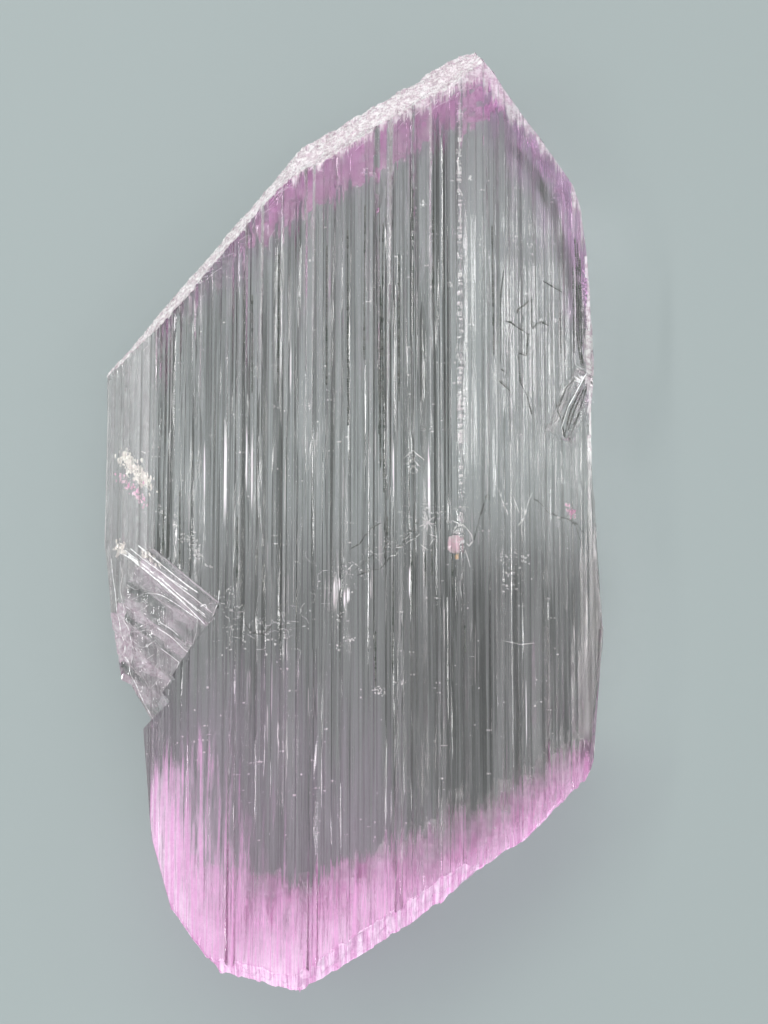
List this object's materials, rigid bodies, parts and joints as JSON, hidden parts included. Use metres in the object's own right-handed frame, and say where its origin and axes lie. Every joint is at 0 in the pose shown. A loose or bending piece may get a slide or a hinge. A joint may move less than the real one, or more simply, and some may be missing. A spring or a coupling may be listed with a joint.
{
  "type": "kunzite crystal",
  "caption": "Flat, striated blade of clear lilac kunzite with an etched slanting termination, a stepped chip on its left edge and a broken foot, lying on its back.",
  "frame": {"origin": "on the flat back face, under the middle of the crystal's bounding box", "axes": "+Z out of the broad front face, +Y along the crystal's c axis towards its natural termination, +X towards the right-hand edge seen from the front"},
  "size_m": [0.0614, 0.115, 0.0165],
  "materials": {
    "kunzite": "natural lustrous crystal faces, finely striated along the length; frosted etched termination and splintery broken foot"
  },
  "bodies": {
    "root": {"kunzite_crystal": "kunzite"}
  },
  "joints": []
}
